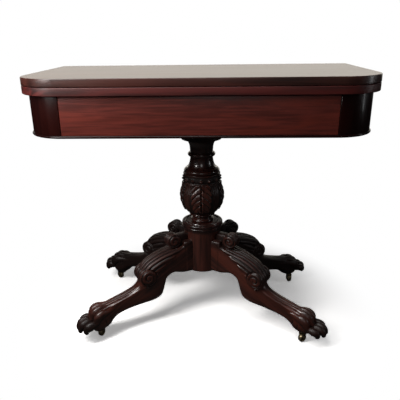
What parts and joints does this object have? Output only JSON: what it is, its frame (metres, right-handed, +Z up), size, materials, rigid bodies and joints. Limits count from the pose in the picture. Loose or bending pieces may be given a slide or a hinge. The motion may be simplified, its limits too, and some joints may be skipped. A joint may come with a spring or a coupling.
{
  "type": "swivel-top pedestal card table",
  "caption": "Pedestal card table: a folding top turns on a pivot and opens flat over a veneered frame, on a carved column with splayed paw-foot legs and casters.",
  "frame": {"origin": "on the floor, under the middle of the closed top", "axes": "+Z up, +X along the long side, -Y towards the front, where the leaves' corners are round"},
  "size_m": [0.914, 0.4574, 0.762],
  "materials": {
    "mahogany_top": "glossy French-polished mahogany, long straight grain, worn at the edges",
    "mahogany_panel": "glossy red-brown mahogany veneer, long grain along the rail",
    "mahogany_corner": "glossy dark mahogany veneer, upright grain on the round corners and beads",
    "mahogany_carved": "dark stained carved and turned mahogany, polished on the high spots",
    "secondary_wood": "bare planed pine, oiled by age",
    "brass": "aged brass, dull with bright rubbed spots",
    "iron": "dark forged iron"
  },
  "bodies": {
    "base": {"front_rail": "mahogany_panel", "left_rail": "mahogany_panel", "right_rail": "mahogany_panel", "rear_rail": "secondary_wood", "corner_block_left": "mahogany_corner", "corner_block_right": "mahogany_corner", "front_bead": "mahogany_corner", "corner_bead_left": "mahogany_corner", "corner_bead_right": "mahogany_corner", "side_bead_left": "mahogany_corner", "side_bead_right": "mahogany_corner", "column_bearer": "secondary_wood", "well_board": "secondary_wood", "well_divider": "secondary_wood", "pivot_board": "secondary_wood", "glue_block_left": "secondary_wood", "glue_block_right": "secondary_wood", "capital_block": "mahogany_corner", "column": "mahogany_carved", "disc": "mahogany_carved", "drum": "mahogany_carved", "leg_front_right": "mahogany_carved", "caster_socket_front_right": "brass", "leg_back_right": "mahogany_carved", "caster_socket_back_right": "brass", "leg_back_left": "mahogany_carved", "caster_socket_back_left": "brass", "leg_front_left": "mahogany_carved", "caster_socket_front_left": "brass"},
    "turning_leaf": {"lower_leaf": "mahogany_top", "pivot_bolt": "iron", "pivot_washer": "iron", "pivot_nut": "iron", "hinge_lower_plate_left": "brass", "hinge_lower_plate_right": "brass", "hinge_pin_left": "brass", "hinge_pin_right": "brass"},
    "folding_leaf": {"upper_leaf": "mahogany_top", "hinge_upper_plate_left": "brass", "hinge_upper_plate_right": "brass"},
    "swivel_front_right": {"caster_yoke_front_right": "brass", "caster_axle_front_right": "brass"},
    "wheel_front_right": {"caster_wheel_front_right": "brass"},
    "swivel_back_right": {"caster_yoke_back_right": "brass", "caster_axle_back_right": "brass"},
    "wheel_back_right": {"caster_wheel_back_right": "brass"},
    "swivel_back_left": {"caster_yoke_back_left": "brass", "caster_axle_back_left": "brass"},
    "wheel_back_left": {"caster_wheel_back_left": "brass"},
    "swivel_front_left": {"caster_yoke_front_left": "brass", "caster_axle_front_left": "brass"},
    "wheel_front_left": {"caster_wheel_front_left": "brass"}
  },
  "joints": [
    {"name": "top_swivel", "type": "hinge", "parent": "base", "child": "turning_leaf", "pos_m": [0.1125, 0.1125, 0.7207], "axis": [0, 0, 1], "range_deg": [0, 90]},
    {"name": "leaf_fold", "type": "hinge", "parent": "turning_leaf", "child": "folding_leaf", "pos_m": [0, 0.225, 0.7415], "axis": [-1, 0, 0], "range_deg": [0, 180]},
    {"name": "caster_swivel_front_right", "type": "hinge", "parent": "base", "child": "swivel_front_right", "pos_m": [0.30571, -0.1765, 0.03], "axis": [0, 0, 1], "continuous": true},
    {"name": "caster_roll_front_right", "type": "hinge", "parent": "swivel_front_right", "child": "wheel_front_right", "pos_m": [0.29704, -0.18327, 0.013], "axis": [0.6157, -0.788, 0], "continuous": true},
    {"name": "caster_swivel_back_right", "type": "hinge", "parent": "base", "child": "swivel_back_right", "pos_m": [0.30571, 0.1765, 0.03], "axis": [0, 0, 1], "continuous": true},
    {"name": "caster_roll_back_right", "type": "hinge", "parent": "swivel_back_right", "child": "wheel_back_right", "pos_m": [0.30781, 0.1657, 0.013], "axis": [0.9816, 0.1908, 0], "continuous": true},
    {"name": "caster_swivel_back_left", "type": "hinge", "parent": "base", "child": "swivel_back_left", "pos_m": [-0.30571, 0.1765, 0.03], "axis": [0, 0, 1], "continuous": true},
    {"name": "caster_roll_back_left", "type": "hinge", "parent": "swivel_back_left", "child": "wheel_back_left", "pos_m": [-0.31413, 0.18357, 0.013], "axis": [-0.6428, -0.766, 0], "continuous": true},
    {"name": "caster_swivel_front_left", "type": "hinge", "parent": "base", "child": "swivel_front_left", "pos_m": [-0.30571, -0.1765, 0.03], "axis": [0, 0, 1], "continuous": true},
    {"name": "caster_roll_front_left", "type": "hinge", "parent": "swivel_front_left", "child": "wheel_front_left", "pos_m": [-0.30286, -0.16587, 0.013], "axis": [-0.9659, 0.2588, 0], "continuous": true}
  ]
}
